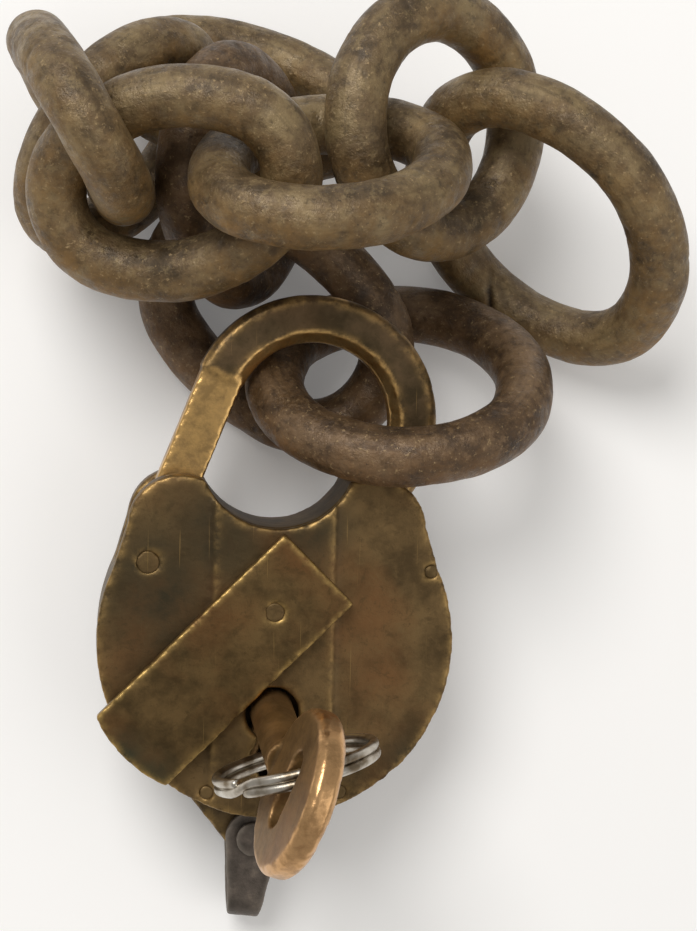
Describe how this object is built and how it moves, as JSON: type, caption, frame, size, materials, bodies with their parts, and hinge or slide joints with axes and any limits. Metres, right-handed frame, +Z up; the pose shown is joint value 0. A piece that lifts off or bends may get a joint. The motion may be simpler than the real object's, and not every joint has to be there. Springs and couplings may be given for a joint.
{
  "type": "padlock on chain",
  "caption": "Heart-shaped brass padlock with its key, locked through the first link of a heap of heavy rusty chain.",
  "frame": {"origin": "middle of the base of the object's bounding box, on the table it lies on", "axes": "+Z up from the table, towards the lock's front; +Y from the lock's foot towards its shackle and the chain; +X to the right seen from above"},
  "size_m": [0.1404, 0.1942, 0.0767],
  "materials": {
    "aged_brass": "satin",
    "worn_brass": "satin",
    "dark_iron": "matte",
    "steel": "satin",
    "nickelled_steel": "satin",
    "rusty_iron": "matte"
  },
  "bodies": {
    "case": {"case_back": "aged_brass", "front_plate": "aged_brass", "case_rivets": "worn_brass", "cover_rivet": "worn_brass", "hinge_pin": "worn_brass", "guide_pins": "steel", "detent_spring": "steel", "key_post": "steel", "clevis_rivet": "dark_iron", "link_1": "rusty_iron", "link_2": "rusty_iron", "link_3": "rusty_iron", "link_4": "rusty_iron", "link_5": "rusty_iron", "link_6": "rusty_iron", "link_7": "rusty_iron", "link_8": "rusty_iron", "link_9": "rusty_iron", "link_10": "rusty_iron"},
    "shackle": {"shackle": "aged_brass"},
    "cover": {"keyhole_cover": "aged_brass"},
    "key": {"key": "worn_brass"},
    "ring": {"key_ring": "nickelled_steel"},
    "bolt": {"bolt": "dark_iron"},
    "clevis": {"clevis": "dark_iron"}
  },
  "joints": [
    {"name": "shackle_swing", "type": "hinge", "parent": "case", "child": "shackle", "pos_m": [-0.04083, -0.02259, 0.0217], "axis": [0, -0.1908, 0.9816], "range_deg": [0, 12]},
    {"name": "cover_swing", "type": "hinge", "parent": "case", "child": "cover", "pos_m": [-0.01553, -0.03452, 0.03385], "axis": [0, 0.1908, -0.9816], "range_deg": [0, 90]},
    {"name": "key_turn", "type": "hinge", "parent": "case", "child": "key", "pos_m": [-0.01543, -0.05481, 0.02766], "axis": [0.0682, -0.3903, 0.9182], "range_deg": [0, 90]},
    {"name": "bolt_slide", "type": "slide", "parent": "case", "child": "bolt", "axis": [1, 0, 0], "range_m": [0, 0.005]},
    {"name": "ring_swing", "type": "hinge", "parent": "key", "child": "ring", "pos_m": [-0.01208, -0.06613, 0.06072], "axis": [-0.9714, -0.2356, -0.028], "range_deg": [0, 40]},
    {"name": "clevis_swing", "type": "hinge", "parent": "case", "child": "clevis", "pos_m": [-0.01833, -0.07952, 0.01064], "axis": [0, -0.1908, 0.9816], "range_deg": [-60, 60]}
  ],
  "couplings": [
    {"joint": "bolt_slide", "follows": "key_turn", "m_per_rad": 0.003183}
  ]
}
